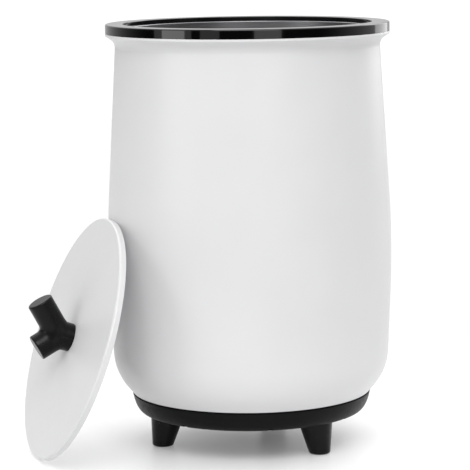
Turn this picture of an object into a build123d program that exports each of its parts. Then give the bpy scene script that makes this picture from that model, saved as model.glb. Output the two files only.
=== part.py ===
from build123d import *
import os
from math import atan2, cos, dist, pi, radians, sin, sqrt, tan

# A free-standing towel warmer bucket, in millimetres. The origin is on the floor under the
# middle of the bucket, +Z is up, the front faces -Y and +X is to the right of the front.
# Azimuths are counted from the front, positive towards +X.

# ---- Driving dimensions -------------------------------------------------------------------

# Heights of the main joints
ground_gap = 0.5            # the legs stop this far above the floor, the rubber pads reach it
base_bottom = 36.0          # underside of the base tray
tray_height = 22.0          # from there up to the joint between base tray and outer shell
lip_height = 447.0          # top of the shell's flared lip, where the rim ring sits
rim_height = 10.2           # visible height of the rim ring
recess_depth = 5.0          # from the top of the rim down to the pot's flange, where the lid sits

# Inner liner: the pot, which sets the width of all that goes around it
liner_radius = 130.0        # outside of the pot's wall
liner_wall = 1.0
liner_corner = 15.0
liner_flange_gap = 0.3      # between the pot's flange and the wall of the recess
liner_hole_gap = 1.0        # between the pot and the ledge that carries its flange
flange_round = 0.7

# Heating and insulation around the pot
heater_gap = 0.1
heater_film = 0.8
heater_rise = 32.0          # lower edge of the heater band above the inside floor of the pot
heater_drop = 109.2         # upper edge of the heater band below the pot's flange
heater_seam = 24.0          # width of the open seam at the rear
sleeve_gap = 0.2
sleeve_thickness = 4.4
sleeve_drop = 21.2          # upper edge of the felt sleeve below the pot's flange

# Rim ring
rim_wall = 2.5
rim_ledge = 2.5             # width of the ledge that carries the pot's flange
rim_skirt_drop = 11.8       # how far the hidden skirt reaches below the lip
rim_skirt_gap = 0.9         # between the hidden skirt and the felt sleeve
rim_fit = 0.5               # between the hidden skirt and the narrowest neck
rim_outer_round = 1.6
rim_inner_round = 0.8

# Outer shell: its outline runs from its foot by the shoulder, belly and neck to the lip
shell_wall = 2.6
lip_edge = 2.4              # height of the lip's upright edge
lip_edge_round = 0.6
lip_flare = 10.5            # the lip is this much wider than the neck, in radius
neck_drop = 9.6             # corner of the neck below the lip, before it is rounded
belly_swell = 13.0          # the belly is this much wider than the neck
belly_rise = 161.0          # the belly is this far above the joint with the base
shoulder_draw = 6.0         # the shoulder is this much narrower than the belly
shoulder_rise = 22.7
foot_draw = 19.1            # the foot is this much narrower than the shoulder
shoulder_reach = 20.0       # how far each bend runs along the sides beside it
belly_reach = 53.2
neck_share = 0.45           # the neck's bend takes up this share of the flare
shell_floor = 2.6           # thickness of the ring floor at the bottom of the shell
shell_floor_width = 25.5
shell_rib_wall = 1.8        # locating rib under the ring floor
shell_rib_drop = 3.0

# Lid
lid_gap = 1.0               # between the closed lid and the recess
lid_thickness = 7.0
lid_top_wall = 2.0
lid_skirt_wall = 2.2
lid_edge_round = 2.2
lid_rest_gap = 0.2          # between the closed lid's inner plate and its seat
lid_plate_thickness = 2.0
lid_plate_gap = 0.3
lid_foam_gap = 1.0
lid_screw_inset = 20.5      # from the lid's edge to its circle of screws
lid_screw_count = 6
lid_post_radius = 3.2
lid_screw_radius = 1.1
lid_screw_head = 2.4        # radius of the countersunk head
lid_lean = 19.0             # tilt of the leaning lid from upright
lid_azimuth = -57.0         # side of the bucket that the lid leans on
lid_lean_gap = 0.3          # between the leaning lid and the shell, and the lid and the floor

# Knob: a forked branch on a round foot
knob_foot_radius = 15.2
knob_fork_height = 13.4     # height of the fork above the lid
knob_long_radius = 13.8
knob_long_length = 42.2
knob_long_tilt = 43.0
knob_short_radius = 14.0
knob_short_length = 28.0
knob_short_tilt = 47.5
knob_end_round = 1.7
knob_heart_radius = 13.9
knob_screw_radius = 2.5
knob_screw_head = (4.6, 2.6)
knob_screw_depth = 14.0
knob_washer_radius = 7.0
knob_washer_thickness = 1.2
knob_access_radius = 9.0    # hole in the lid's inner plate that lets the screw in

# Base tray
tray_draw = 11.9            # the flat underside ends this far inside the shell's foot
tray_swell_width = 12.9     # half axes of the elliptical side of the tray
tray_swell_height = 32.9
tray_wall = 2.5
tray_rebate_depth = 1.4     # shadow gap under the shell
tray_rebate_height = 1.9
column_offset = 2.0         # screw columns stand this far outside the edge of the underside
column_azimuth = 23.5
column_count = 8
column_radius = 5.0
column_recess_radius = 3.4
column_seat_drop = 8.0      # screw seats in the columns, below the joint
base_screw_radius = 1.5
base_screw_head = (2.8, 2.1)
base_screw_reach = 8.0      # thread above the joint
shell_post_radius = 4.2
shell_post_height = 12.0

# Legs
leg_azimuths = (-60.0, 60.0, 180.0)
leg_names = ("leg_front_left", "leg_front_right", "leg_rear")
leg_inset = 17.1            # bottoms of the legs, inside the edge of the underside
leg_splay = 6.5             # how far each leg leans out towards its bottom
leg_bottom_radius = 11.3
leg_top_radius = 18.8
leg_round = 2.4
leg_screw_wall = 8.6        # thickness of the leg above its screw's seat
leg_screw_radius = 2.0
leg_screw_head = (3.9, 2.6)
leg_screw_reach = 9.0       # thread above the floor of the tray
leg_post_radius = 5.2
leg_post_height = 11.0
pad_radius = 7.5
pad_thickness = 3.0
pad_round = 0.4

# Bottom heater, its felt pad and the pan that carries them
heater_plate_thickness = 0.6
heater_plate_inset = 6.0    # inside the flat floor of the pot
heater_plate_hole = 30.0
felt_pad_thickness = 11.4
felt_pad_window = 34.0
support_sheet = 1.0
support_land = 7.0          # width of the pan's edge on the shell's ring floor
support_step_gap = 4.0      # between the raised middle and the ring floor's opening
support_rise = 5.4
support_wire_hole = 22.0
support_screw_inset = 3.5   # screws from the opening of the ring floor
support_screw_azimuths = (0.0, 120.0, 240.0)
support_screw_radius = 1.5
support_screw_head = (2.8, 2.0)
support_post_radius = 3.4
support_post_drop = 6.0

# Thermostat and thermal fuse under the floor of the pot
stud_spread = 15.0          # the two studs stand this far from the middle
stud_radius = 1.5
stud_length = 7.5
thermostat_cap_radius = 7.8
thermostat_cap_height = 3.6
thermostat_flange = (38.0, 10.0, 0.8)
thermostat_body_radius = 8.2
thermostat_body_height = 5.5
thermostat_tab = (0.8, 6.3, 8.0)
thermostat_tab_spread = 4.5
nut_width = 5.5
nut_height = 2.0
fuse_radius = 2.1
fuse_length = 14.0
fuse_offset = 22.0
fuse_lead_radius = 0.5
fuse_lead_length = 5.0
clip_sheet = 0.8
clip_width = 6.0
clip_tab = 5.0

# Control board
board_size = (80.0, 60.0, 1.6)
board_standoff = 6.0
board_post_radius = 3.2
board_screw_inset = 6.0
board_screw_radius = 1.3
board_screw_head = (2.5, 1.8)
board_screw_reach = 5.0
case_round = 0.8            # edges of the moulded cases on the board, and of the gland
relay_size = (19.0, 15.5, 15.3)
relay_inset = (18.0, 16.0)  # its middle from the board's right and front edges
transformer_core = (20.0, 16.0, 13.0)
transformer_limb = 4.0
transformer_yoke = 2.5
transformer_coil_radius = 7.6
transformer_place = (-6.0, -12.0)                   # from the middle of the board
can_radius = 5.0            # the electrolytic capacitors
can_height = 14.0
can_groove_height = 2.5
can_groove_radius = 0.7
can_groove_depth = 0.4
can_inset = (14.0, 14.0)    # the first one's middle from the board's left and front edges
can_place = (6.0, 8.0)      # the second one's middle from the middle of the board
terminal_size = (24.0, 12.0, 12.0)
terminal_inset = (23.0, 11.0)   # its middle from the board's left and rear edges
terminal_ways = 3
terminal_well_radius = 1.9
terminal_well_depth = 3.0
terminal_bore = 1.7
terminal_bore_depth = 4.0
terminal_bore_height = 7.3  # above the board
heater_way = 1              # the terminal that takes the heater's lead, counted from the left

# Power button at the rear
button_rise = 57.0          # above the joint with the base
bezel_radius = 15.0
bezel_proud = 1.6
bezel_barrel_radius = 12.0
bezel_bore = 9.3
bezel_reach = 2.3           # how far the barrel stands inside the shell
bezel_round = 0.8
bezel_fit = 0.2
button_gap = 0.3            # around and behind the button
button_proud = 0.6          # above the face of the bezel
button_flange = 1.2
button_flange_grip = 1.5    # how far the flange reaches past the bore
button_travel = 0.8
button_round = 0.9
tact_size = 6.0
tact_body = 3.5
tact_height = 4.6
plunger_radius = 1.7
plunger_gap = 0.05
plunger_root = 0.3          # length of the plunger inside the switch at rest
plunger_spare = 0.5         # room left below the plunger when it is pressed
switch_board_size = (40.0, 1.6, 42.0)
switch_board_rise = 6.0     # the board's middle above the button
switch_post_spread = 16.5
switch_post_radius = 3.0
switch_screw_radius = 1.2
switch_screw_head = (2.2, 1.5)
switch_screw_reach = 5.0
led_rise = 21.0
led_size = (3.2, 1.8, 3.2)
lens_radius = 1.6
lens_gap = 0.1
lens_proud = 0.5

# Cable gland
gland_rise = 11.8           # middle of the gland above the underside
gland_bore = 3.6
gland_barrel_radius = 5.4
gland_collar_radius = 7.2
gland_fit = 0.1
gland_proud = 1.1           # its outer face past the widest part of the tray's side
gland_length = 14.6
gland_collar_inside = 2.0

# Wiring: both leads come down through the ring floor and run forward under it
lead_radius = 1.2
lead_hole_radius = 3.4
lead_hole_inset = 15.0      # holes in the ring floor, outside its opening
lead_spread = 12.0          # to each side of the middle
lead_share = 0.45           # share of the shorter run beside it that a bend takes up
lead_turn_height = 6.0      # above the ring floor, where the leads turn into their holes
lead_turn_out = 1.0         # how far outside the hole that turn is
lead_forward = 30.0         # first stretch under the floor, towards the middle
lead_drift = 3.0            # sideways wander of that stretch
lead_sag = 1.0
lead_entry = 34.0           # last stretch, straight into the terminals
heater_lead_drop = 26.0     # first stretch, straight down from the heater band
switch_lead_drop = 14.0     # first stretch, straight down from the switch board
switch_lead_inset = 10.0    # where the lead meets the control board, from its screw
switch_lead_behind = 18.0   # last turn behind that screw
switch_lead_edge = 2.0

# Screws in general; a head is given by its radius and height
thread_gap = 0.05
hole_gap = 0.2
thread_spare = 1.0          # threaded holes are this much deeper than their screws
head_round = 0.35           # round of a head's edge, as a share of its height
cross_length = 0.6          # length of its cross slot, as a share of its diameter
cross_width = 0.22
cross_depth = 0.5           # depth of that slot, as a share of its height

# ---- Derived dimensions -------------------------------------------------------------------

# Heights
shell_bottom = base_bottom + tray_height
shell_floor_top = shell_bottom + shell_floor
tray_floor = base_bottom + tray_wall
rim_top = lip_height + rim_height
liner_seat = rim_top - recess_depth - liner_wall    # ledge that carries the pot's flange
support_top = shell_floor_top + support_rise + support_sheet
liner_underside = support_top + felt_pad_thickness + heater_plate_thickness
liner_floor_height = liner_underside + liner_wall
heater_bottom = liner_floor_height + heater_rise
heater_top = liner_seat - heater_drop
sleeve_top = liner_seat - sleeve_drop
board_top = tray_floor + board_standoff + board_size[2]
lead_level = board_top + terminal_bore_height
column_seat = shell_bottom - column_seat_drop
leg_screw_seat = base_bottom - leg_screw_wall
gland_height = base_bottom + gland_rise
button_height = shell_bottom + button_rise
shoulder_height = shell_bottom + shoulder_rise
belly_height = shell_bottom + belly_rise
neck_height = lip_height - neck_drop
lip_under = lip_height - lip_edge
flare_rise = atan2(lip_under - neck_height, lip_flare)      # slope of the flare, in radians

# Radii, from the pot outwards
film_radius = liner_radius + heater_gap + heater_film
sleeve_inner = film_radius + sleeve_gap
sleeve_outer = sleeve_inner + sleeve_thickness
rim_throat = liner_radius + liner_hole_gap + rim_ledge      # recess that the lid drops into
rim_skirt = sleeve_outer + rim_skirt_gap + rim_wall
neck_radius = rim_skirt + rim_fit + shell_wall
lip_radius = neck_radius + lip_flare
belly_radius = neck_radius + belly_swell
shoulder_radius = belly_radius - shoulder_draw
shell_foot_radius = shoulder_radius - foot_draw
shell_floor_hole = shell_foot_radius - shell_floor_width
tray_floor_radius = shell_foot_radius - tray_draw
column_circle = tray_floor_radius + column_offset
leg_circle = tray_floor_radius - leg_inset
heater_plate_radius = liner_radius - liner_wall - liner_corner - heater_plate_inset
support_radius = shell_floor_hole + support_land
support_step_radius = shell_floor_hole - support_step_gap
support_screw_circle = shell_floor_hole + support_screw_inset
lead_hole_place = shell_floor_hole + lead_hole_inset
gland_face = tray_floor_radius + tray_swell_width + gland_proud
lid_radius = rim_throat - lid_gap
lid_screw_circle = lid_radius - lid_screw_inset

# Places on the control board
board_right = board_size[0] / 2
board_rear = board_size[1] / 2
relay_place = (board_right - relay_inset[0], relay_inset[1] - board_rear)
can_places = ((can_inset[0] - board_right, can_inset[1] - board_rear), can_place)
terminal_place = (terminal_inset[0] - board_right, board_rear - terminal_inset[1])

# Repeats and cuts
column_azimuths = [column_azimuth + i * 360.0 / column_count for i in range(column_count)]
lid_screw_azimuths = [i * 360.0 / lid_screw_count for i in range(lid_screw_count)]
high = 1000.0               # taller than anything here, for cuts that run right through
over = 1.0                  # cuts run this far past the faces that they open


# ---- Helpers ------------------------------------------------------------------------------

def rod(radius, bottom, top, x=0.0, y=0.0):
    """An upright cylinder between two heights."""
    return Pos(x, y, (bottom + top) / 2) * Cylinder(radius, top - bottom)


def ring(outer, inner, bottom, top):
    """An upright tube about the middle of the bucket."""
    return rod(outer, bottom, top) - rod(inner, bottom - over, top + over)


def rod_y(radius, start, end, x, z):
    """A cylinder along Y, between two distances behind the middle."""
    return Pos(x, (start + end) / 2, z) * Rot(90, 0, 0) * Cylinder(radius, end - start)


def block(size, bottom, x=0.0, y=0.0):
    """A box standing at a height."""
    return Pos(x, y, bottom + size[2] / 2) * Box(*size)


def around(shape, azimuths):
    """Copies of a shape made at the front, turned to each azimuth."""
    return [Rot(0, 0, azimuth) * shape for azimuth in azimuths]


def group(shapes):
    """Identical pieces kept as separate solids of one node."""
    return Compound(children=list(shapes))


def screw(head_size, shank_radius, length):
    """A pan-head screw pointing up, seated at height 0, with a cross slot in its head."""
    radius, height = head_size
    head = rod(radius, -height, 0)
    head = fillet(head.edges().sort_by(Axis.Z)[0], height * head_round)
    slot = Box(2 * radius * cross_length, 2 * radius * cross_width, 2 * height * cross_depth)
    cross = Pos(0, 0, -height) * (slot + Rot(0, 0, 90) * slot)
    return head + rod(shank_radius, 0, length) - cross


def bend(before, here, after, reach):
    """Radius of the bend at a corner that reaches this far along the two runs beside it."""
    arriving = Vector(*here) - Vector(*before)
    leaving = Vector(*after) - Vector(*here)
    return reach / tan(radians(arriving.get_angle(leaving) / 2))


def shell_corners(inset):
    """Corners of the shell's outline, drawn in by an inset, and the bends of the inner three."""
    neck_lift = inset * (1 - sin(flare_rise)) / cos(flare_rise)
    corners = [
        (shell_foot_radius - inset, shell_bottom),
        (shoulder_radius - inset, shoulder_height),
        (belly_radius - inset, belly_height),
        (neck_radius - inset, neck_height + neck_lift),
        (lip_radius, lip_under + inset / cos(flare_rise)),
    ]
    reaches = (shoulder_reach, belly_reach, neck_share * dist(*corners[-2:]))
    return corners, [bend(*corners[i:i + 3], reach) for i, reach in enumerate(reaches)]


def wall_radius(height):
    """Outer radius of the shell at a height between the bends of its shoulder and its neck."""
    corners, bends = shell_corners(0)
    side = corners[1:3] if height < belly_height else corners[2:4]
    share = (height - side[0][1]) / (side[1][1] - side[0][1])
    straight = side[0][0] + share * (side[1][0] - side[0][0])
    into_bend = max(0, belly_reach - abs(height - belly_height))
    return straight - into_bend ** 2 / (2 * bends[1])


def shell_form(inset):
    """The solid inside the shell's outline, drawn in by an inset."""
    corners, bends = shell_corners(inset)
    side = FilletPolyline(*corners, radius=bends)
    closing = Polyline(side @ 1, (0, corners[-1][1]), (0, shell_bottom), side @ 0)
    return revolve(Plane.XZ * make_face(side + closing), Axis.Z)


def tray_form(inset):
    """The solid inside the base tray's outline, drawn in by an inset."""
    middle = base_bottom + tray_swell_height
    width = tray_swell_width - inset
    depth = tray_swell_height - inset
    swell = EllipticalCenterArc((tray_floor_radius, middle), width, depth, -90, arc_size=90)
    closing = Polyline(swell @ 1, (0, middle), (0, middle - depth), swell @ 0)
    form = revolve(Plane.XZ * make_face(swell + closing), Axis.Z)
    return form & rod(2 * tray_floor_radius, 0, shell_bottom)


def lead(points, radius):
    """A wire along straight runs joined by arcs as large as the runs allow."""
    bends = []
    for before, here, after in zip(points, points[1:], points[2:]):
        shorter = min(dist(before, here), dist(here, after))
        bends.append(bend(before, here, after, lead_share * shorter))
    path = FilletPolyline(*points, radius=bends)
    wire = sweep(Plane(origin=path @ 0, z_dir=path % 0) * Circle(radius), path=path)
    section = pi * radius ** 2
    print("lead", round(path.length, 1), "volume share", round(wire.volume / section / path.length, 3))
    return wire


# ---- Body ---------------------------------------------------------------------------------

def make_outer_shell():
    """White moulded shell with a ring floor, screw posts and the seat of the rear button."""
    outside = shell_form(0) + rod(lip_radius, lip_under, lip_height)
    outside = fillet(outside.edges().filter_by_position(Axis.Z, lip_under, lip_under), lip_edge_round)
    shell = outside - (shell_form(shell_wall) - rod(2 * belly_radius, 0, shell_floor_top))
    shell -= rod(shell_floor_hole, 0, shell_floor_top + over)
    rib = rib_radius()
    shell += ring(rib, rib - shell_rib_wall, shell_bottom - shell_rib_drop, shell_bottom)
    post = rod(shell_post_radius, shell_floor_top, shell_floor_top + shell_post_height, 0, -column_circle)
    depth = shell_bottom + base_screw_reach + thread_spare
    thread = rod(base_screw_radius + thread_gap, 0, depth, 0, -column_circle)
    for piece in around(post, column_azimuths):
        shell += piece
    for hole in around(thread, column_azimuths):
        shell -= hole
    support_post = rod(support_post_radius, shell_bottom - support_post_drop, shell_bottom, 0,
                       -support_screw_circle)
    support_thread = rod(support_screw_radius + thread_gap, 0, high, 0, -support_screw_circle)
    for piece in around(support_post, support_screw_azimuths):
        shell += piece
    for hole in around(support_thread, support_screw_azimuths):
        shell -= hole
    for side in (-1, 1):
        shell -= rod(lead_hole_radius, 0, shell_floor_top + over, side * lead_spread, lead_hole_place)
        post_x = side * switch_post_spread
        reach = wall_radius(button_height)
        switch_post = rod_y(switch_post_radius, board_face(), reach, post_x, button_height)
        shell += switch_post & shell_form(shell_wall / 2)
        depth = board_face() + switch_screw_reach + thread_spare
        shell -= rod_y(switch_screw_radius + thread_gap, 0, depth, post_x, button_height)
    shell -= rod_y(bezel_barrel_radius + bezel_fit, 0, high, 0, button_height)
    shell -= rod_y(lens_radius + lens_gap, 0, high, 0, button_height + led_rise)
    return shell


def make_rim_ring():
    """Glossy ring: outer band on the lip, top, recess wall with its ledge, hidden skirt."""
    rim = ring(lip_radius, lip_radius - rim_wall, lip_height, rim_top)
    rim += ring(lip_radius, rim_throat, rim_top - rim_wall, rim_top)
    rim += ring(rim_throat + rim_wall, rim_throat, liner_seat - rim_wall, rim_top)
    rim += ring(rim_throat + rim_wall, liner_radius + liner_hole_gap, liner_seat - rim_wall, liner_seat)
    rim += ring(rim_skirt, rim_skirt - rim_wall, lip_height - rim_skirt_drop, rim_top)
    top_edges = rim.edges().filter_by(GeomType.CIRCLE).group_by(Axis.Z)[-1].sort_by(SortBy.RADIUS)
    rim = fillet(top_edges[-1], rim_outer_round)
    top_edges = rim.edges().filter_by(GeomType.CIRCLE).group_by(Axis.Z)[-1].sort_by(SortBy.RADIUS)
    return fillet(top_edges[0], rim_inner_round)


def make_inner_liner():
    """Drawn aluminium pot, hung by its flange on the rim's ledge, with two weld studs."""
    flange_top = liner_seat + liner_wall
    pot = rod(liner_radius, liner_underside, flange_top)
    pot = fillet(pot.edges().sort_by(Axis.Z)[0], liner_corner + liner_wall)
    pot += ring(rim_throat - liner_flange_gap, liner_radius - liner_wall, liner_seat, flange_top)
    inside = rod(liner_radius - liner_wall, liner_floor_height, flange_top)
    inside = fillet(inside.edges().sort_by(Axis.Z)[0], liner_corner)
    pot -= inside
    mouth = pot.edges().filter_by(GeomType.CIRCLE).group_by(Axis.Z)[-1].sort_by(SortBy.RADIUS)
    pot = fillet(mouth[0], flange_round)
    for side in (-1, 1):
        pot += rod(stud_radius, liner_underside - stud_length, liner_underside, side * stud_spread)
    return pot


# ---- Base and legs ------------------------------------------------------------------------

def rib_radius():
    """Outer radius of the shell's rib, which ends a gap inside the tray's wall."""
    depth = tray_swell_height - tray_wall
    drop = (base_bottom + tray_swell_height - shell_bottom + shell_rib_drop) / depth
    tray_inside = tray_floor_radius + (tray_swell_width - tray_wall) * sqrt(1 - drop ** 2)
    return tray_inside - hole_gap


def make_base_tray():
    """Black bowl-shaped tray with screw columns, leg posts, board posts and the gland's hole."""
    tray = tray_form(0) - tray_form(tray_wall)
    rebate_inner = shell_foot_radius - tray_rebate_depth
    tray -= ring(2 * rebate_inner, rebate_inner, shell_bottom - tray_rebate_height, shell_bottom + over)
    column = rod(column_radius, base_bottom, shell_bottom, 0, -column_circle) & tray_form(0)
    recess = rod(column_recess_radius, 0, column_seat, 0, -column_circle)
    recess += rod(base_screw_radius + hole_gap, 0, high, 0, -column_circle)
    for piece in around(column, column_azimuths):
        tray += piece
    for hole in around(recess, column_azimuths):
        tray -= hole
    rib = rib_radius()
    rib_inside = rib - shell_rib_wall - hole_gap
    tray -= ring(rib, rib_inside, shell_bottom - shell_rib_drop - hole_gap, shell_bottom + over)
    post = rod(leg_post_radius, tray_floor, tray_floor + leg_post_height, 0, -leg_circle)
    depth = tray_floor + leg_screw_reach + thread_spare
    thread = rod(leg_screw_radius + thread_gap, 0, depth, 0, -leg_circle)
    for piece in around(post, leg_azimuths):
        tray += piece
    for hole in around(thread, leg_azimuths):
        tray -= hole
    for x, y in board_corners():
        tray += rod(board_post_radius, tray_floor, tray_floor + board_standoff, x, y)
        tray -= rod(board_screw_radius + thread_gap, tray_floor, high, x, y)
    tray -= rod_y(gland_barrel_radius + gland_fit, 0, high, 0, gland_height)
    return tray


def make_leg():
    """A leg at the front: a leaning cone with a pad recess and a deep screw seat."""
    foot = Pos(0, -leg_circle, ground_gap) * Circle(leg_bottom_radius)
    head = Pos(0, leg_splay - leg_circle, base_bottom) * Circle(leg_top_radius)
    leg = loft([foot, head])
    leg = fillet(leg.edges().sort_by(Axis.Z)[0], leg_round)
    leg -= rod(pad_radius + hole_gap, 0, pad_thickness, 0, -leg_circle)
    leg -= rod(leg_screw_head[0] + hole_gap, 0, leg_screw_seat, 0, -leg_circle)
    leg -= rod(leg_screw_radius + hole_gap, 0, high, 0, -leg_circle)
    return leg


def make_foot_pad():
    """A rubber pad at the front, pressed up into its recess."""
    pad = rod(pad_radius, 0, pad_thickness, 0, -leg_circle)
    return fillet(pad.edges().sort_by(Axis.Z)[0], pad_round)


def make_leg_screw():
    """The screw of the front leg, up through the tray's floor into its post."""
    length = tray_floor + leg_screw_reach - leg_screw_seat
    return Pos(0, -leg_circle, leg_screw_seat) * screw(leg_screw_head, leg_screw_radius, length)


def make_base_screw():
    """One of the screws that join the tray to the shell, in its recess at the front."""
    length = shell_bottom + base_screw_reach - column_seat
    return Pos(0, -column_circle, column_seat) * screw(base_screw_head, base_screw_radius, length)


# ---- Heating, insulation and support ---------------------------------------------------------------

def make_heater_band():
    """Foil heater wrapped around the pot, with an open seam at the rear."""
    band = ring(film_radius, liner_radius + heater_gap, heater_bottom, heater_top)
    seam = Box(heater_seam, liner_radius * 2, high)
    return band - Pos(0, liner_radius, 0) * seam


def make_insulation_sleeve():
    """Felt sleeve around the heater band."""
    return ring(sleeve_outer, sleeve_inner, heater_bottom, sleeve_top)


def make_heater_plate():
    """Foil heater under the floor of the pot."""
    bottom = liner_underside - heater_plate_thickness
    return ring(heater_plate_radius, heater_plate_hole, bottom, liner_underside)


def make_insulation_pad():
    """Felt disc between the support plate and the bottom heater."""
    bottom_heater = liner_underside - heater_plate_thickness
    return ring(heater_plate_radius, felt_pad_window, support_top, bottom_heater)


def make_support_plate():
    """Pressed steel pan on the shell's ring floor that carries the pad and the pot."""
    plate = rod(support_radius, shell_floor_top, shell_floor_top + support_sheet)
    plate += rod(support_step_radius, shell_floor_top, support_top)
    plate -= rod(support_step_radius - support_sheet, 0, support_top - support_sheet)
    plate -= rod(support_wire_hole / 2, 0, high)
    hole = rod(support_screw_radius + hole_gap, 0, high, 0, -support_screw_circle)
    for cut in around(hole, support_screw_azimuths):
        plate -= cut
    return plate


def make_support_screw():
    """A screw at the front, down through the support plate into the shell's floor."""
    length = support_sheet + shell_floor + support_post_drop - thread_spare
    seat = Pos(0, -support_screw_circle, shell_floor_top + support_sheet)
    return seat * Rot(180, 0, 0) * screw(support_screw_head, support_screw_radius, length)


def make_thermostat():
    """Snap-disc thermostat pressed against the pot by its flange, with two blade terminals."""
    flange_bottom = liner_underside - thermostat_cap_height
    cap = rod(thermostat_cap_radius, flange_bottom, liner_underside)
    flange = block(thermostat_flange, flange_bottom)
    for side in (-1, 1):
        flange -= rod(stud_radius + hole_gap, 0, high, side * stud_spread)
    body = rod(thermostat_body_radius, flange_bottom - thermostat_body_height, flange_bottom)
    tabs = [
        block(thermostat_tab, flange_bottom - thermostat_body_height - thermostat_tab[2],
              side * thermostat_tab_spread)
        for side in (-1, 1)
    ]
    return cap + flange + body + tabs


def make_thermostat_nut(side):
    """A nut on one stud, under the thermostat's flange."""
    top = liner_underside - thermostat_cap_height
    nut = extrude(RegularPolygon(nut_width / 2, 6, major_radius=False), nut_height)
    nut -= rod(stud_radius + thread_gap, -over, nut_height + over)
    return Pos(side * stud_spread, 0, top - nut_height) * nut


def make_thermal_fuse():
    """Axial thermal fuse lying under the floor of the pot, with its two stiff leads."""
    height = liner_underside - fuse_radius - thread_gap
    body = Rot(0, 90, 0) * Cylinder(fuse_radius, fuse_length)
    wires = Rot(0, 90, 0) * Cylinder(fuse_lead_radius, fuse_length + 2 * fuse_lead_length)
    return Pos(0, fuse_offset, height) * (body + wires)


def make_fuse_clip():
    """Bent strip, welded to the pot by its tab, that holds the thermal fuse."""
    height = liner_underside - fuse_radius - thread_gap
    inner = fuse_radius + thread_gap
    outer = inner + clip_sheet
    saddle = Rot(0, 90, 0) * (Cylinder(outer, clip_width) - Cylinder(inner, clip_width + over))
    saddle -= Pos(0, 0, outer) * Box(clip_width + over, 2 * outer + over, 2 * outer)
    saddle = Pos(0, fuse_offset, height) * saddle
    leg_height = liner_underside - height
    leg = Pos(0, fuse_offset + inner + clip_sheet / 2, height + leg_height / 2)
    saddle += leg * Box(clip_width, clip_sheet, leg_height)
    tab = Pos(0, fuse_offset + inner + clip_tab / 2, liner_underside - clip_sheet / 2)
    return saddle + tab * Box(clip_width, clip_tab, clip_sheet)


# ---- Control board ------------------------------------------------------------------------

def board_corners():
    """The four screw places of the control board."""
    x = board_right - board_screw_inset
    y = board_rear - board_screw_inset
    return [(-x, -y), (x, -y), (x, y), (-x, y)]


def make_control_board():
    """Control board on the tray's four posts."""
    board = block(board_size, board_top - board_size[2])
    for x, y in board_corners():
        board -= rod(board_screw_radius + hole_gap, 0, high, x, y)
    return board


def make_board_screw(x, y):
    """A screw down into a board post."""
    length = board_size[2] + board_screw_reach
    return Pos(x, y, board_top) * Rot(180, 0, 0) * screw(board_screw_head, board_screw_radius, length)


def make_relay():
    """Relay that switches the heaters."""
    case = block(relay_size, board_top, *relay_place)
    return fillet(case.edges().filter_by(Axis.Z), case_round)


def make_transformer():
    """Small transformer: a core with its taped winding between the two limbs."""
    width, depth, height = transformer_core
    core = block(transformer_core, board_top, *transformer_place)
    middle = Pos(*transformer_place, board_top + height / 2)
    gap = width - 2 * transformer_limb
    core -= middle * Box(gap, depth + over, height - 2 * transformer_yoke)
    coil = Rot(0, 90, 0) * Cylinder(transformer_coil_radius, gap)
    return core + middle * (coil & Box(width, high, height))


def make_capacitor(x, y):
    """Electrolytic can standing on the board, with the groove above its foot."""
    can = rod(can_radius, board_top, board_top + can_height, x, y)
    can = fillet(can.edges().sort_by(Axis.Z)[-1], case_round)
    groove = Torus(can_radius + can_groove_radius - can_groove_depth, can_groove_radius)
    return can - Pos(x, y, board_top + can_groove_height) * groove


def make_terminal_block():
    """Terminal block with its wire holes at the rear and screw wells on top."""
    base = block(terminal_size, board_top, *terminal_place)
    pitch = terminal_size[0] / terminal_ways
    rear = terminal_place[1] + terminal_size[1] / 2
    for way in range(terminal_ways):
        x = terminal_place[0] + (way - (terminal_ways - 1) / 2) * pitch
        well_floor = board_top + terminal_size[2] - terminal_well_depth
        base -= rod(terminal_well_radius, well_floor, high, x, terminal_place[1])
        if way != heater_way:
            base -= rod_y(terminal_bore, rear - terminal_bore_depth, high, x, lead_level)
    return base


# ---- Power button -------------------------------------------------------------------------

def barrel_end():
    """Inner end of the bezel's barrel."""
    return wall_radius(button_height) - shell_wall - bezel_reach


def button_back():
    """Inner face of the button's flange, where the switch touches it."""
    return barrel_end() - button_gap - button_flange


def board_face():
    """Outer face of the switch board."""
    return button_back() - tact_height


def make_button_bezel():
    """Ring seated on the outside of the shell, with a barrel through the wall."""
    skin = wall_radius(button_height)
    face = skin + bezel_proud
    flange = rod_y(bezel_radius, barrel_end(), face, 0, button_height)
    flange = fillet(flange.edges().sort_by(Axis.Y)[-1], bezel_round)
    flange -= shell_form(0)
    barrel = rod_y(bezel_barrel_radius, barrel_end(), face - bezel_round, 0, button_height)
    return flange + barrel - rod_y(bezel_bore, 0, high, 0, button_height)


def make_power_button():
    """Round cap that slides in the bezel, kept in by a flange behind it."""
    face = wall_radius(button_height) + bezel_proud + button_proud
    cap = rod_y(bezel_bore - button_gap, button_back(), face, 0, button_height)
    cap = fillet(cap.edges().sort_by(Axis.Y)[-1], button_round)
    flange_radius = bezel_bore + button_flange_grip
    return cap + rod_y(flange_radius, button_back(), button_back() + button_flange, 0, button_height)


def make_tact_switch():
    """Square switch on the switch board, with a well for its plunger."""
    body = Pos(0, board_face() + tact_body / 2, button_height) * Box(tact_size, tact_body, tact_size)
    depth = tact_height - tact_body + button_travel
    start = button_back() - depth - plunger_spare
    return body - rod_y(plunger_radius + plunger_gap, start, high, 0, button_height)


def make_switch_plunger():
    """Plunger of the switch, which moves with the button."""
    start = board_face() + tact_body - plunger_root
    return rod_y(plunger_radius, start, button_back(), 0, button_height)


def make_switch_board():
    """Small upright board behind the button."""
    middle = board_face() - switch_board_size[1] / 2
    board = Pos(0, middle, button_height + switch_board_rise) * Box(*switch_board_size)
    for side in (-1, 1):
        board -= rod_y(switch_screw_radius + hole_gap, 0, high, side * switch_post_spread, button_height)
    return board


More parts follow.
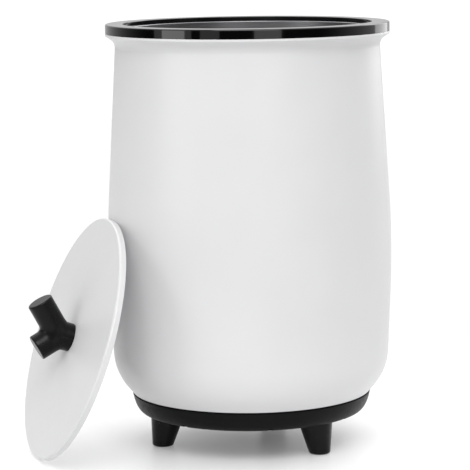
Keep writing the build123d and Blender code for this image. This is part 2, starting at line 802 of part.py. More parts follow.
def make_switch_board_screw(side):
    """A screw through the switch board into the shell's post."""
    seat = Pos(side * switch_post_spread, board_face() - switch_board_size[1], button_height)
    length = switch_board_size[1] + switch_screw_reach
    return seat * Rot(-90, 0, 0) * screw(switch_screw_head, switch_screw_radius, length)


def make_indicator_led():
    """Light-emitting diode on the switch board."""
    middle = board_face() + led_size[1] / 2
    return Pos(0, middle, button_height + led_rise) * Box(*led_size)


def make_indicator_lens():
    """Clear light pipe from the diode to a small dome outside the shell."""
    height = button_height + led_rise
    end = wall_radius(height) + lens_proud
    pipe = rod_y(lens_radius, board_face() + led_size[1], end, 0, height)
    return fillet(pipe.edges().sort_by(Axis.Y)[-1], lens_proud)


# ---- Gland and wiring ---------------------------------------------------------------------

def make_cable_gland():
    """Bush in the rear of the tray, where a mains cord would enter."""
    inner_end = gland_face - gland_length
    gland = rod_y(gland_barrel_radius, inner_end, gland_face, 0, gland_height)
    collar = rod_y(gland_collar_radius, inner_end, gland_face, 0, gland_height)
    collar = fillet(collar.edges().sort_by(Axis.Y)[-1], case_round)
    gland += collar - tray_form(0)
    gland += rod_y(gland_collar_radius, inner_end, inner_end + gland_collar_inside, 0, gland_height)
    return gland - rod_y(gland_bore, 0, high, 0, gland_height)


def lead_down(side, drift):
    """The stretch that both leads share: down through the ring floor and forward under it."""
    x = side * lead_spread
    return [
        (x, lead_hole_place + lead_turn_out, shell_floor_top + lead_turn_height),
        (x, lead_hole_place, lead_level),
        (x + side * drift, lead_hole_place - lead_forward, lead_level - lead_sag),
    ]


def make_heater_lead():
    """Lead from the heater band's lower edge, through the shell's floor to the terminals."""
    radius = liner_radius + heater_gap + lead_radius
    start_y = sqrt(radius ** 2 - lead_spread ** 2)
    rear = terminal_place[1] + terminal_size[1] / 2
    return lead([
        (-lead_spread, start_y, heater_bottom),
        (-lead_spread, start_y, heater_bottom - heater_lead_drop),
        *lead_down(-1, lead_drift),
        (terminal_place[0], rear + lead_entry, lead_level),
        (terminal_place[0], rear, lead_level),
    ], lead_radius)


def make_switch_lead():
    """Lead from the switch board's lower edge down to the control board."""
    middle = board_face() - switch_board_size[1] / 2
    bottom = button_height + switch_board_rise - switch_board_size[2] / 2
    corner_x, corner_y = board_corners()[2]
    end_x = corner_x - switch_lead_inset
    end_y = corner_y - switch_lead_edge
    return lead([
        (lead_spread, middle, bottom),
        (lead_spread, middle, bottom - switch_lead_drop),
        *lead_down(1, lead_drift),
        (end_x, corner_y + switch_lead_behind, lead_level),
        (end_x, end_y, lead_level),
        (end_x, end_y, board_top),
    ], lead_radius)


# ---- Lid ----------------------------------------------------------------------------------

def lid_place():
    """Where the lid leans: its own Z points away from the bucket, its own X up the slope."""
    contact = 2 * lid_radius * cos(radians(lid_lean))
    reach = wall_radius(contact) + lid_lean_gap + lid_radius * sin(radians(lid_lean))
    outward = Vector(sin(radians(lid_azimuth)), -cos(radians(lid_azimuth)), 0)
    upright = Vector(0, 0, 1)
    centre = outward * reach + upright * (contact / 2 + lid_lean_gap)
    normal = outward * cos(radians(lid_lean)) + upright * sin(radians(lid_lean))
    slope = upright * cos(radians(lid_lean)) - outward * sin(radians(lid_lean))
    return Plane(origin=centre, x_dir=slope, z_dir=normal).location


def make_lid_cover():
    """White top of the lid with its skirt and screw posts."""
    cover = rod(lid_radius, 0, lid_thickness)
    cover = fillet(cover.edges().sort_by(Axis.Z)[-1], lid_edge_round)
    cover -= rod(lid_radius - lid_skirt_wall, -over, lid_thickness - lid_top_wall)
    plate_top = lid_rest_gap + lid_plate_thickness
    post = rod(lid_post_radius, plate_top, lid_thickness - lid_top_wall, 0, -lid_screw_circle)
    thread = rod(lid_screw_radius + thread_gap, 0, lid_thickness - lid_top_wall / 2, 0, -lid_screw_circle)
    for piece in around(post, lid_screw_azimuths):
        cover += piece
    for hole in around(thread, lid_screw_azimuths):
        cover -= hole
    return cover - rod(knob_screw_radius + hole_gap, 0, high)


def make_lid_plate():
    """White inner plate of the lid, set inside the skirt."""
    radius = lid_radius - lid_skirt_wall - lid_plate_gap
    plate = rod(radius, lid_rest_gap, lid_rest_gap + lid_plate_thickness)
    plate -= rod(knob_access_radius, -over, high)
    for cut in around(lid_screw_form(hole_gap), lid_screw_azimuths):
        plate -= cut
    return plate


def lid_screw_form(gap):
    """A countersunk lid screw at the front, or the hole for it with a gap around it."""
    sink = lid_screw_head - lid_screw_radius
    cone = Pos(0, -lid_screw_circle, lid_rest_gap + sink / 2)
    shank = rod(lid_screw_radius + gap, lid_rest_gap, lid_thickness - lid_top_wall, 0, -lid_screw_circle)
    return cone * Cone(lid_screw_head + gap, lid_screw_radius + gap, sink) + shank


def make_lid_insulation():
    """Foam disc between the lid's cover and inner plate."""
    bottom = lid_rest_gap + lid_plate_thickness
    disc = rod(lid_radius - lid_skirt_wall - lid_foam_gap, bottom, lid_thickness - lid_top_wall)
    disc -= rod(knob_access_radius, 0, high)
    hole = rod(lid_post_radius + hole_gap, 0, high, 0, -lid_screw_circle)
    for cut in around(hole, lid_screw_azimuths):
        disc -= cut
    return disc


def knob_branch(radius, length, tilt):
    """A round branch from the fork, tilted up the slope or down it."""
    branch = rod(radius, 0, length)
    branch = fillet(branch.edges().sort_by(Axis.Z)[-1], knob_end_round)
    return Pos(0, 0, lid_thickness + knob_fork_height) * Rot(0, tilt, 0) * branch


def make_knob():
    """Black forked knob on the lid."""
    knob = rod(knob_foot_radius, lid_thickness, lid_thickness + knob_fork_height)
    knob += Pos(0, 0, lid_thickness + knob_fork_height) * Sphere(knob_heart_radius)
    knob += knob_branch(knob_long_radius, knob_long_length, knob_long_tilt)
    knob += knob_branch(knob_short_radius, knob_short_length, -knob_short_tilt)
    knob -= rod(2 * knob_foot_radius, 0, lid_thickness)
    return knob - rod(knob_screw_radius + thread_gap, 0, lid_thickness + knob_screw_depth + thread_spare)


def make_knob_washer():
    """Washer under the knob's screw."""
    top = lid_thickness - lid_top_wall
    return ring(knob_washer_radius, knob_screw_radius + hole_gap, top - knob_washer_thickness, top)


def make_knob_screw():
    """Screw up through the lid into the knob."""
    seat = lid_thickness - lid_top_wall - knob_washer_thickness
    length = lid_thickness + knob_screw_depth - seat
    return Pos(0, 0, seat) * screw(knob_screw_head, knob_screw_radius, length)


# ---- All nodes ----------------------------------------------------------------------------

def make_nodes():
    """Every node of the bucket by name."""
    nodes = {
        "outer_shell": make_outer_shell(),
        "rim_ring": make_rim_ring(),
        "inner_liner": make_inner_liner(),
        "heater_band": make_heater_band(),
        "insulation_sleeve": make_insulation_sleeve(),
        "heater_plate": make_heater_plate(),
        "insulation_pad": make_insulation_pad(),
        "support_plate": make_support_plate(),
        "support_screws": group(around(make_support_screw(), support_screw_azimuths)),
        "thermostat": make_thermostat(),
        "thermostat_nuts": group(make_thermostat_nut(side) for side in (-1, 1)),
        "thermal_fuse": make_thermal_fuse(),
        "fuse_clip": make_fuse_clip(),
        "base_tray": make_base_tray(),
        "base_screws": group(around(make_base_screw(), column_azimuths)),
        "foot_pads": group(around(make_foot_pad(), leg_azimuths)),
        "leg_screws": group(around(make_leg_screw(), leg_azimuths)),
        "control_board": make_control_board(),
        "board_screws": group(make_board_screw(x, y) for x, y in board_corners()),
        "relay": make_relay(),
        "transformer": make_transformer(),
        "capacitors": group(make_capacitor(x, y) for x, y in can_places),
        "terminal_block": make_terminal_block(),
        "button_bezel": make_button_bezel(),
        "power_button": make_power_button(),
        "tact_switch": make_tact_switch(),
        "switch_plunger": make_switch_plunger(),
        "switch_board": make_switch_board(),
        "switch_board_screws": group(make_switch_board_screw(side) for side in (-1, 1)),
        "indicator_led": make_indicator_led(),
        "indicator_lens": make_indicator_lens(),
        "cable_gland": make_cable_gland(),
        "heater_lead": make_heater_lead(),
        "switch_lead": make_switch_lead(),
    }
    nodes.update(zip(leg_names, around(make_leg(), leg_azimuths)))
    lid = {
        "lid_cover": make_lid_cover(),
        "lid_plate": make_lid_plate(),
        "lid_insulation": make_lid_insulation(),
        "lid_screws": group(around(lid_screw_form(0), lid_screw_azimuths)),
        "knob": make_knob(),
        "knob_washer": make_knob_washer(),
        "knob_screw": make_knob_screw(),
    }
    place = lid_place()
    nodes.update((name, place * shape) for name, shape in lid.items())
    return nodes


os.makedirs("parts", exist_ok=True)
for name, shape in make_nodes().items():
    export_step(shape, f"parts/{name}.step")
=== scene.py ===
from math import cos, pi, radians, sin, tau

import bmesh
import bpy
import numpy as np
from mathutils import Matrix, Vector


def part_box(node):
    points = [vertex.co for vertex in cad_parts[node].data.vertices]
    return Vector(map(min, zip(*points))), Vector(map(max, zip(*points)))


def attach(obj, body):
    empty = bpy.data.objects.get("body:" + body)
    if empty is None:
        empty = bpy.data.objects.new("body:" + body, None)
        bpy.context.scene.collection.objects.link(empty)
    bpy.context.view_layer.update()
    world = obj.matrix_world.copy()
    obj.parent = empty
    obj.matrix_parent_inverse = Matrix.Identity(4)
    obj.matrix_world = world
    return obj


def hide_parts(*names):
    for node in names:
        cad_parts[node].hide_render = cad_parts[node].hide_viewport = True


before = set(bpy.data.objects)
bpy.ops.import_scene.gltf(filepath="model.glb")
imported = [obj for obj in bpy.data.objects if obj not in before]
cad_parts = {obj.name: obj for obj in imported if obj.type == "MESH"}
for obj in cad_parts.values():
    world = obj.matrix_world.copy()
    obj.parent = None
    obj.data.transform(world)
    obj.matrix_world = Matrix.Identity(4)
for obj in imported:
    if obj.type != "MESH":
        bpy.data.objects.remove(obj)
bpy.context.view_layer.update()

# The looks of a towel warmer bucket, in metres. The front faces -Y, +X is to the right of the
# front and +Z is up. The bucket and its separate lid stand on a pale studio floor.

MM = 0.001
GLOSS_PATCH = 7                 # how much wider than the grain the patches of gloss are


# ---- Materials ----------------------------------------------------------------------------

def linear(hex_colour):
    """An sRGB hex colour as the linear numbers that a shader takes."""
    channels = [int(hex_colour[i:i + 2], 16) / 255 for i in (1, 3, 5)]
    return [c / 12.92 if c <= 0.04045 else ((c + 0.055) / 1.055) ** 2.4 for c in channels] + [1.0]


def add(tree, kind, settings=None, **inputs):
    """Adds one node: its settings, then each input as a number, a colour or a link."""
    made = tree.nodes.new(kind)
    for name, value in (settings or {}).items():
        setattr(made, name, value)
    sockets = {}
    for socket in made.inputs:
        name = socket.name.lower().replace(" ", "_")
        if socket.enabled:
            sockets[name if name not in sockets else name + "_2"] = socket
    for name, value in inputs.items():
        if isinstance(value, bpy.types.NodeSocket):
            tree.links.new(value, sockets[name])
        else:
            sockets[name].default_value = value
    return made


def begin(name):
    """A new material with its tree and the object's own coordinates, in metres."""
    material = bpy.data.materials.new(name)
    material.use_nodes = True
    tree = material.node_tree
    tree.nodes.clear()
    place = add(tree, "ShaderNodeTexCoord").outputs["Object"]
    return material, tree, place


def end(material, tree, shader):
    """Links the finished shader to the surface."""
    add(tree, "ShaderNodeOutputMaterial", surface=shader.outputs[0])
    return material


def noise(tree, place, size_mm, detail=2.0, roughness=0.5):
    """Soft noise whose blotches are about size_mm wide."""
    made = add(tree, "ShaderNodeTexNoise", vector=place, scale=1000 / size_mm, detail=detail,
               roughness=roughness)
    return made.outputs[0]


def spread(tree, value, low, high):
    """A noise of about 0.3 to 0.7 spread over a range."""
    made = add(tree, "ShaderNodeMapRange", value=value, from_min=0.3, from_max=0.7, to_min=low,
               to_max=high)
    return made.outputs[0]


def tinted(tree, amount, dark, light):
    """A colour between two hex colours, by an amount of 0 to 1."""
    made = add(tree, "ShaderNodeMix", {"data_type": "RGBA"}, factor=amount, a=linear(dark),
               b=linear(light))
    return made.outputs["Result"]


def waves(tree, place, direction, spacing_mm, distortion):
    """Even bands along an axis at a spacing. The wave node turns 20 radians per unit."""
    made = add(tree, "ShaderNodeTexWave", {"bands_direction": direction}, vector=place,
               scale=1000 / spacing_mm * tau / 20, distortion=distortion)
    return made.outputs["Fac"]


def bump(tree, height, depth_mm, strength=1.0):
    """A bump of a real depth from a height of 0 to 1."""
    made = add(tree, "ShaderNodeBump", strength=strength, distance=depth_mm * MM, height=height)
    return made.outputs[0]


def moulded(name, dark, light, gloss, grain_mm, grain_depth_mm, blotch_mm=90.0, **more):
    """Moulded plastic: two close tones, a gloss range and the fine grain of its tool."""
    material, tree, place = begin(name)
    blotches = noise(tree, place, blotch_mm)
    grain = noise(tree, place, grain_mm, detail=3.0)
    shader = add(
        tree, "ShaderNodeBsdfPrincipled",
        base_color=tinted(tree, spread(tree, blotches, 0, 1), dark, light),
        roughness=spread(tree, noise(tree, place, grain_mm * GLOSS_PATCH), *gloss),
        normal=bump(tree, grain, grain_depth_mm),
        **more,
    )
    return end(material, tree, shader)


def satin_white_abs():
    """Satin white ABS from a fine-sparked mould: an even white whose highlights are wide and
    soft. The real grain is under 0.1 mm, so it is drawn coarser, at 0.9 mm, and very shallow."""
    return moulded("satin_white_abs", "#D0D0D1", "#D3D3D4", (0.34, 0.40), 0.9, 0.004, ior=1.53)


def polished_black_abs():
    """Polished black ABS of the rim ring and the bezel: deep black with clear reflections,
    broken a little by handling haze."""
    return moulded("polished_black_abs", "#050506", "#070708", (0.05, 0.10), 6.0, 0.002, ior=1.53)


def sparked_black_pp():
    """Black polypropylene of the base with a sparked mould texture: a dull satin that pales at
    a flat angle."""
    return moulded("sparked_black_pp", "#08080A", "#0C0C0D", (0.36, 0.46), 0.7, 0.02, ior=1.49,
                   specular_ior_level=0.1)


def satin_black_abs():
    """Satin black ABS of the knob and the legs: darker and smoother than the base, with soft
    highlights along its rounds."""
    return moulded("satin_black_abs", "#030304", "#060607", (0.27, 0.34), 0.8, 0.005, ior=1.53,
                   specular_ior_level=0.17)


def matt_black_rubber():
    """Moulded black rubber of the foot pads: matt, slightly grey and finely pitted."""
    return moulded("matt_black_rubber", "#1B1B1C", "#242425", (0.78, 0.9), 0.6, 0.03, ior=1.52)


def black_nylon():
    """Black PA66 of the cable gland: a waxy half gloss."""
    return moulded("black_nylon", "#131314", "#19191A", (0.36, 0.5), 1.2, 0.01, ior=1.53)


def green_nylon():
    """Green PA66 of the terminal block."""
    return moulded("green_nylon", "#1E6B3C", "#257A46", (0.35, 0.45), 1.2, 0.01, ior=1.53)


def black_epoxy():
    """Black epoxy and PBT cases of the parts on the boards: dull, with fine grit."""
    return moulded("black_epoxy", "#18181A", "#212124", (0.5, 0.62), 0.5, 0.015)


def phenolic():
    """Dark brown phenolic of the thermostat's body: dull, with a mottled tone."""
    return moulded("phenolic", "#1F1713", "#2B201A", (0.45, 0.6), 0.6, 0.02, blotch_mm=5.0)


def amber_tape():
    """Amber polyester tape around the transformer: a thin glossy film with wrinkles."""
    return moulded("amber_tape", "#C28A1C", "#D9A233", (0.2, 0.35), 2.5, 0.05, blotch_mm=8.0)


def silicone_wire():
    """Ivory silicone rubber on the leads: soft sheen, a little dust."""
    return moulded("silicone_wire", "#D3CCBE", "#DDD7CB", (0.5, 0.65), 1.0, 0.01, blotch_mm=20.0)


def clear_polycarbonate():
    """Frosted clear polycarbonate of the light pipe: lets light through, milky inside."""
    return moulded("clear_polycarbonate", "#E6ECEC", "#F2F6F6", (0.12, 0.2), 1.5, 0.004, ior=1.585,
                   transmission_weight=0.85)


def solder_mask():
    """Green solder mask over woven glass laminate: glossy lacquer over a 0.5 mm weave, drawn at
    0.9 mm so that it shows."""
    material, tree, place = begin("solder_mask")
    bands = [waves(tree, place, direction, 0.9, 0.3) for direction in ("X", "Y")]
    weave = add(tree, "ShaderNodeMath", {"operation": "MULTIPLY"}, value=bands[0], value_2=bands[1])
    shader = add(
        tree, "ShaderNodeBsdfPrincipled",
        base_color=tinted(tree, spread(tree, noise(tree, place, 12), 0, 1), "#0F4A26", "#14592F"),
        roughness=spread(tree, noise(tree, place, 4), 0.22, 0.3),
        normal=bump(tree, weave.outputs[0], 0.02),
        coat_weight=0.4,
        coat_roughness=0.12,
    )
    return end(material, tree, shader)


def metal(name, dark, light, gloss, stretch, line_mm, depth_mm):
    """Bare metal with working lines: noise stretched along each axis by a factor."""
    material, tree, place = begin(name)
    drawn = add(tree, "ShaderNodeVectorMath", {"operation": "MULTIPLY"}, vector=place,
                vector_2=stretch).outputs[0]
    lines = noise(tree, drawn, line_mm, detail=4.0, roughness=0.6)
    shader = add(
        tree, "ShaderNodeBsdfPrincipled",
        base_color=tinted(tree, spread(tree, noise(tree, place, 30), 0, 1), dark, light),
        roughness=spread(tree, lines, *gloss),
        normal=bump(tree, lines, depth_mm),
        metallic=1.0,
    )
    return end(material, tree, shader)


def zinc_plated_steel():
    """Blue-white zinc plating on screws, nuts, clip and support plate: bright, faintly mottled."""
    return metal("zinc_plated_steel", "#B4B8BC", "#C9CCCE", (0.25, 0.42), (1, 1, 1), 2.0, 0.004)


def tinned_case():
    """Tinned metal case of the thermal fuse: soft silver."""
    return metal("tinned_case", "#BDBBB4", "#CFCDC6", (0.25, 0.4), (0.2, 1, 1), 1.0, 0.006)


def foil_laminate():
    """Aluminium foil laminated over the heating wire: bright and crinkled, with the wire's rows
    pressing through every 14 mm."""
    material, tree, place = begin("foil_laminate")
    rows = waves(tree, place, "Z", 14, 0.4)
    crinkle = noise(tree, place, 7.0, detail=5.0, roughness=0.65)
    both = add(tree, "ShaderNodeMath", {"operation": "ADD"}, value=rows, value_2=crinkle)
    shader = add(
        tree, "ShaderNodeBsdfPrincipled",
        base_color=tinted(tree, spread(tree, crinkle, 0, 1), "#C4C5C7", "#DADBDC"),
        roughness=spread(tree, crinkle, 0.22, 0.4),
        normal=bump(tree, both.outputs[0], 0.25),
        metallic=1.0,
    )
    return end(material, tree, shader)


def anodised_pot():
    """Spun aluminium pot, dark anodised: fine rings left by spinning, about 1 mm apart here so
    that they show, and a soft sheen that runs across them."""
    material, tree, place = begin("anodised_pot")
    flat = add(tree, "ShaderNodeVectorMath", {"operation": "MULTIPLY"}, vector=place,
               vector_2=(1, 1, 0)).outputs[0]
    length = add(tree, "ShaderNodeVectorMath", {"operation": "LENGTH"}, vector=flat)
    radius = length.outputs["Value"]
    height = add(tree, "ShaderNodeSeparateXYZ", vector=place).outputs["Z"]
    turned = add(tree, "ShaderNodeCombineXYZ", x=radius, z=height).outputs[0]
    rings = noise(tree, turned, 1.0, detail=3.0)
    shader = add(
        tree, "ShaderNodeBsdfPrincipled",
        base_color=tinted(tree, spread(tree, noise(tree, turned, 25), 0, 1), "#929294", "#A2A2A4"),
        roughness=spread(tree, rings, 0.30, 0.42),
        normal=bump(tree, rings, 0.012),
        metallic=1.0,
    )
    return end(material, tree, shader)


def needled_felt():
    """Needled insulating felt, off-white: short fibres, no shine, small pits every few mm."""
    material, tree, place = begin("needled_felt")
    fibres = noise(tree, place, 1.4, detail=8.0, roughness=0.8)
    shader = add(
        tree, "ShaderNodeBsdfPrincipled",
        base_color=tinted(tree, spread(tree, fibres, 0, 1), "#C9C5B8", "#E4E1D6"),
        roughness=0.95,
        sheen_weight=0.4,
        sheen_roughness=0.5,
        normal=bump(tree, fibres, 0.6),
    )
    return end(material, tree, shader)


def white_foam():
    """Closed-cell polyethylene foam: a matt white skin over 1.5 mm cells."""
    material, tree, place = begin("white_foam")
    cell_mm = 1.5
    cells = add(tree, "ShaderNodeTexVoronoi", vector=place, scale=1000 / cell_mm)
    shader = add(
        tree, "ShaderNodeBsdfPrincipled",
        base_color=tinted(tree, spread(tree, noise(tree, place, 20), 0, 1), "#E6E6E1", "#F2F2EE"),
        roughness=0.7,
        normal=bump(tree, cells.outputs["Distance"], 0.12),
    )
    return end(material, tree, shader)


def symbol_ink():
    """Grey pad-printed ink of the button's symbol: thin and dull."""
    return moulded("symbol_ink", "#5E6063", "#686A6D", (0.5, 0.6), 0.5, 0.002)


def paint_nodes():
    """Gives every CAD node the material of the real piece."""
    white = satin_white_abs()
    gloss = polished_black_abs()
    base = sparked_black_pp()
    satin = satin_black_abs()
    zinc = zinc_plated_steel()
    epoxy = black_epoxy()
    board = solder_mask()
    felt = needled_felt()
    foil = foil_laminate()
    wire = silicone_wire()
    clear = clear_polycarbonate()
    finishes = {
        "outer_shell": white, "lid_cover": white, "lid_plate": white, "power_button": white,
        "rim_ring": gloss, "button_bezel": gloss,
        "base_tray": base,
        "leg_front_left": satin, "leg_front_right": satin, "leg_rear": satin, "knob": satin,
        "foot_pads": matt_black_rubber(),
        "cable_gland": black_nylon(),
        "inner_liner": anodised_pot(),
        "heater_band": foil, "heater_plate": foil,
        "insulation_sleeve": felt, "insulation_pad": felt,
        "lid_insulation": white_foam(),
        "support_plate": zinc, "support_screws": zinc, "base_screws": zinc, "leg_screws": zinc,
        "board_screws": zinc, "switch_board_screws": zinc, "thermostat_nuts": zinc,
        "fuse_clip": zinc, "lid_screws": zinc, "knob_screw": zinc, "knob_washer": zinc,
        "thermostat": phenolic(),
        "thermal_fuse": tinned_case(),
        "control_board": board, "switch_board": board,
        "relay": epoxy, "capacitors": epoxy, "tact_switch": epoxy, "switch_plunger": epoxy,
        "transformer": amber_tape(),
        "terminal_block": green_nylon(),
        "indicator_led": clear, "indicator_lens": clear,
        "heater_lead": wire, "switch_lead": wire,
    }
    for name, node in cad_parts.items():
        node.data.materials.clear()
        node.data.materials.append(finishes[name])
    return finishes


# ---- Pieces -------------------------------------------------------------------------------

def new_piece(name, mesh, material, body):
    """An object of a mesh with its material, riding on a body."""
    piece = bpy.data.objects.new(name, mesh)
    bpy.context.scene.collection.objects.link(piece)
    mesh.materials.clear()
    mesh.materials.append(material)
    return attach(piece, body)


# ---- Knob ---------------------------------------------------------------------------------

LEAN = radians(19)              # tilt of the leaning lid from upright
AZIMUTH = radians(-57)          # side of the bucket that it leans on, from the front
WASHER_HEIGHT = 4.4             # middle of the knob's washer above the lid's underside, mm
KNOB_SEAT = 7.0                 # the lid's white face above its underside, mm
KNOB_FORK = 20.4                # where the branches meet, above the underside
FOOT_RADIUS = 15.2
FOOT_EDGE = 0.5                 # rounding of the foot's edge
BRANCHES = ((radians(43), 13.8, 42.2), (radians(-47.5), 14.0, 28.0))    # tilt, radius, length
BRANCH_EDGE = 1.7               # rounding of the branches' ends
HEART_RADIUS = 13.9             # ball that fills the fork
CROTCH_BLEND = 5.5              # fillet between the branches
FOOT_BLEND = 0.8                # fillet between the fork and the foot
KNOB_VOXEL = 0.8                # size of the knob's mesh before its vertices settle


def lid_frame():
    """The leaning lid's own frame: Z out of its white face, X up its slope, and the origin in
    the middle of its underside."""
    outward = Vector((sin(AZIMUTH), -cos(AZIMUTH), 0))
    upright = Vector((0, 0, 1))
    normal = outward * cos(LEAN) + upright * sin(LEAN)
    slope = upright * cos(LEAN) - outward * sin(LEAN)
    turn = Matrix((slope, normal.cross(slope), normal)).transposed().to_4x4()
    low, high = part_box("knob_washer")
    return Matrix.Translation((low + high) / 2 - normal * WASHER_HEIGHT * MM) @ turn


def rod_distance(points, start, tilt, radius, length, edge):
    """Signed distance to a round rod with rounded ends. It starts at a height on the lid's axis
    and is tilted up the slope."""
    axis = np.array((sin(tilt), 0, cos(tilt)))
    relative = points - (0, 0, start)
    along = relative @ axis
    out = np.linalg.norm(relative - np.outer(along, axis), axis=1)
    past = np.stack((out - radius, np.abs(along - length / 2) - length / 2), axis=1) + edge
    return np.linalg.norm(np.maximum(past, 0), axis=1) + np.minimum(past.max(axis=1), 0) - edge


def blended(first, second, blend):
    """Two signed distances joined with a fillet of about this size."""
    near = np.maximum(blend - np.abs(first - second), 0) / blend
    return np.minimum(first, second) - near ** 2 * blend / 4


def knob_distance(points):
    """Signed distance to the whole knob: a short foot and the two branches of the fork."""
    long_branch, short_branch = (
        rod_distance(points, KNOB_FORK, *sizes, BRANCH_EDGE) for sizes in BRANCHES)
    foot = rod_distance(points, KNOB_SEAT, 0, FOOT_RADIUS, KNOB_FORK - KNOB_SEAT, FOOT_EDGE)
    heart = np.linalg.norm(points - (0, 0, KNOB_FORK), axis=1) - HEART_RADIUS
    fork = blended(np.minimum(long_branch, heart), np.minimum(short_branch, heart), CROTCH_BLEND)
    return blended(fork, foot, FOOT_BLEND)


def settled(points, distance, steps=6):
    """Points moved along the slope of a signed distance until they lie on its surface."""
    small = 0.02
    least_slope = 0.5
    for _ in range(steps):
        value = distance(points)
        rises = [distance(points + small * axis) - value for axis in np.eye(3)]
        slope = np.stack(rises, axis=1) / small
        slope /= np.maximum(np.linalg.norm(slope, axis=1, keepdims=True), least_slope)
        points = points - slope * value[:, None]
    return points


def make_knob(material):
    """The moulded forked knob: one body with a soft saddle between its branches."""
    built = bmesh.new()
    rods = [(0, FOOT_RADIUS, KNOB_SEAT - KNOB_FORK, 0)]
    rods += [(tilt, radius, -radius / 2, length) for tilt, radius, length in BRANCHES]
    for tilt, radius, start, end in rods:
        turn = Matrix.Translation((0, 0, KNOB_FORK)) @ Matrix.Rotation(tilt, 4, "Y")
        place = turn @ Matrix.Translation((0, 0, (start + end) / 2))
        bmesh.ops.create_cone(built, cap_ends=True, segments=64, radius1=radius, radius2=radius,
                              depth=end - start, matrix=place)
    mesh = bpy.data.meshes.new("knob_body")
    built.to_mesh(mesh)
    built.free()
    piece = new_piece("forked_knob", mesh, material, "lid")
    remesh = piece.modifiers.new("skin", "REMESH")
    remesh.mode = "VOXEL"
    remesh.voxel_size = KNOB_VOXEL
    shown = piece.evaluated_get(bpy.context.evaluated_depsgraph_get())
    skin = bpy.data.meshes.new_from_object(shown)
    piece.modifiers.clear()
    points = np.empty(3 * len(skin.vertices))
    skin.vertices.foreach_get("co", points)
    points = settled(points.reshape(-1, 3), knob_distance)
    skin.vertices.foreach_set("co", points.ravel())
    skin.transform(lid_frame() @ Matrix.Scale(MM, 4))
    skin.polygons.foreach_set("use_smooth", [True] * len(skin.polygons))
    piece.data = skin
    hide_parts("knob")


# ---- Power symbol -------------------------------------------------------------------------

SYMBOL_RADII = (3.1, 3.9)       # inside and outside of the symbol's open ring, mm
SYMBOL_GAP = 34                 # half of its opening, degrees
SYMBOL_BAR = (0.8, 4.6)         # foot and top of its bar, from the middle of the ring
SYMBOL_STEPS = 48
INK_THICKNESS = 0.06


def make_power_symbol(ink):
    """The common power symbol printed on the button: an open ring and a bar."""
    built = bmesh.new()
    sweep = 360 - 2 * SYMBOL_GAP
    turns = [radians(SYMBOL_GAP + sweep * i / SYMBOL_STEPS) for i in range(SYMBOL_STEPS + 1)]
    ring = [
        [built.verts.new((radius * sin(turn), 0, radius * cos(turn))) for radius in SYMBOL_RADII]
        for turn in turns
    ]
    for (inner, outer), (next_inner, next_outer) in zip(ring, ring[1:]):
        built.faces.new((inner, outer, next_outer, next_inner))
    half = (SYMBOL_RADII[1] - SYMBOL_RADII[0]) / 2
    low, high = SYMBOL_BAR
    corners = ((-half, low), (half, low), (half, high), (-half, high))
    built.faces.new([built.verts.new((x, 0, z)) for x, z in reversed(corners)])
    bmesh.ops.solidify(built, geom=built.faces[:], thickness=INK_THICKNESS)
    bmesh.ops.recalc_face_normals(built, faces=built.faces[:])
    mesh = bpy.data.meshes.new("power_symbol")
    built.to_mesh(mesh)
    built.free()
    low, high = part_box("power_button")
    face = Vector(((low.x + high.x) / 2, high.y, (low.z + high.z) / 2))
    mesh.transform(Matrix.Translation(face) @ Matrix.Scale(MM, 4))
    new_piece("power_symbol", mesh, ink, "button")


# ---- Studio -------------------------------------------------------------------------------

FLOOR_RADIUS = 4.0
FLOOR_FADE = (-0.17, 0.78)      # distances from the middle over which the floor's painted glow rises to full; it starts below zero, so some painted light already lightens the shadows under the bucket
FLOOR_GLOW = 1.02               # brightness of its white part, a painted glow
BACKGROUND = 1.1                # brightness that the camera sees behind everything
CEILING = ("Z", 0, 1.06)        # axis of the view, where the light begins on it, and how bright
REAR = ("Y", -0.35, 0.68)
FULL_AT = 0.9                   # where on the axis each of them is full
LIGHTS_AIM = 0.25               # height that the soft boxes face

CAMERA_AZIMUTH = radians(14.3)  # to the right of the front
CAMERA_DISTANCE = 2.404
CAMERA_HEIGHT = 0.571
CAMERA_AIM = (-0.0159, 0.2267)  # to the right and up from the middle of the bucket's foot
CAMERA_ROLL = -0.0129
FOCAL_LENGTH = 2234.3           # in pixels of the photograph
PHOTO_WIDTH = 470
SENSOR = 36.0


def make_floor():
    """A pale studio floor with a faint sheen, which fades into the white background. The white is a
    painted glow mixed in by distance: weak under the bucket, where it lightens the shadows, and
    full further out.
    """
    material, tree, place = begin("pale_floor")
    surface = add(
        tree, "ShaderNodeBsdfPrincipled",
        base_color=tinted(tree, spread(tree, noise(tree, place, 400), 0, 1), "#FAFAFA", "#FBFBFB"),
        roughness=0.3,
        specular_ior_level=0.5,
    )
    # painted glow: the floor shines white by itself, weakly under the bucket, where it lightens the
    # shadows, and fully further out
    white = add(tree, "ShaderNodeEmission", color=(1, 1, 1, 1), strength=FLOOR_GLOW)
    distance = add(tree, "ShaderNodeVectorMath", {"operation": "LENGTH"}, vector=place)
    fade = add(tree, "ShaderNodeMapRange", {"interpolation_type": "SMOOTHSTEP"},
               value=distance.outputs["Value"], from_min=FLOOR_FADE[0], from_max=FLOOR_FADE[1])
    shader = add(tree, "ShaderNodeMixShader", fac=fade.outputs[0], shader=surface.outputs[0],
                 shader_2=white.outputs[0])
    end(material, tree, shader)
    built = bmesh.new()
    bmesh.ops.create_circle(built, cap_ends=True, segments=96, radius=FLOOR_RADIUS)
    mesh = bpy.data.meshes.new("floor")
    built.to_mesh(mesh)
    built.free()
    mesh.materials.append(material)
    floor = bpy.data.objects.new("floor", mesh)
    bpy.context.scene.collection.objects.link(floor)


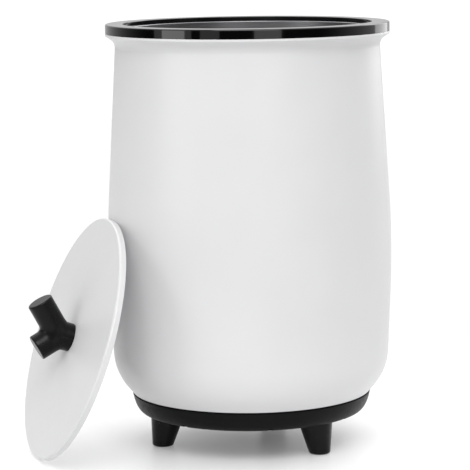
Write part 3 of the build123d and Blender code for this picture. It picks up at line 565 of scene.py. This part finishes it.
def make_surroundings():
    """A room that is bright above and behind the object and dim in front of it, with a white
    background."""
    world = bpy.data.worlds.new("studio")
    world.use_nodes = True
    tree = world.node_tree
    tree.nodes.clear()
    direction = add(tree, "ShaderNodeTexCoord").outputs["Generated"]
    split = add(tree, "ShaderNodeSeparateXYZ", vector=direction)
    ceiling, rear = (
        add(tree, "ShaderNodeMapRange", {"interpolation_type": "SMOOTHSTEP"},
            value=split.outputs[axis], from_min=start, from_max=FULL_AT, to_max=glow).outputs[0]
        for axis, start, glow in (CEILING, REAR)
    )
    room = add(tree, "ShaderNodeMath", {"operation": "ADD"}, value=ceiling, value_2=rear)
    seen = add(tree, "ShaderNodeLightPath").outputs["Is Camera Ray"]
    strength = add(tree, "ShaderNodeMix", {"data_type": "FLOAT"}, factor=seen, a=room.outputs[0],
                   b=BACKGROUND)
    shine = add(tree, "ShaderNodeBackground", color=(1, 1, 1, 1), strength=strength.outputs[0])
    add(tree, "ShaderNodeOutputWorld", surface=shine.outputs[0])
    bpy.context.scene.world = world
    bpy.context.scene.view_settings.view_transform = "Standard"


def make_light(name, azimuth, distance, height, size, glow):
    """A soft box that faces the bucket: where it stands from the front, its width and height,
    and how bright its face is."""
    lamp = bpy.data.lights.new(name, "AREA")
    lamp.shape = "RECTANGLE"
    lamp.size = size[0]
    lamp.size_y = size[1]
    lamp.energy = glow * pi * size[0] * size[1]
    light = bpy.data.objects.new(name, lamp)
    angle = radians(azimuth)
    light.location = (distance * sin(angle), -distance * cos(angle), height)
    toward = Vector((0, 0, LIGHTS_AIM)) - light.location
    light.rotation_euler = toward.to_track_quat("-Z", "Y").to_euler()
    light.visible_camera = False
    bpy.context.scene.collection.objects.link(light)


def make_lights():
    """The soft boxes: the key high over the camera, low ones that draw the bright stripes on the
    rim, and two behind that lift the floor under the base."""
    make_light("front", 14, 2.2, 2.2, (2.4, 1.4), 4.85)
    make_light("left", -46, 2.2, 0.65, (1.35, 0.7), 0.65)
    make_light("left_core", -45, 2.2, 0.65, (0.8, 0.7), 2.2)
    make_light("narrow", -14.7, 2.8, 0.6, (0.76, 0.8), 0.55)
    make_light("right", 30, 2.4, 0.6, (0.9, 0.7), 1.2)
    make_light("rear", -166, 1.8, 2.0, (2.6, 1.2), 1.3)
    make_light("rear_right", 152, 2.2, 1.0, (1.4, 1.6), 1.7)


def make_camera():
    """The camera of the photograph: its place, aim and slight roll were fitted to the outline."""
    right = Vector((cos(CAMERA_AZIMUTH), sin(CAMERA_AZIMUTH), 0))
    back = Vector((sin(CAMERA_AZIMUTH), -cos(CAMERA_AZIMUTH), 0))
    place = back * CAMERA_DISTANCE + Vector((0, 0, CAMERA_HEIGHT))
    aim = right * CAMERA_AIM[0] + Vector((0, 0, CAMERA_AIM[1]))
    lens = bpy.data.cameras.new("camera")
    lens.sensor_width = SENSOR
    lens.lens = SENSOR * FOCAL_LENGTH / PHOTO_WIDTH
    camera = bpy.data.objects.new("camera", lens)
    turn = (aim - place).to_track_quat("-Z", "Y").to_matrix().to_4x4()
    camera.matrix_world = Matrix.Translation(place) @ turn @ Matrix.Rotation(CAMERA_ROLL, 4, "Z")
    bpy.context.scene.collection.objects.link(camera)
    bpy.context.scene.camera = camera


make_camera()
make_surroundings()
make_lights()
make_floor()
finishes = paint_nodes()
make_knob(finishes["knob"])
make_power_symbol(symbol_ink())
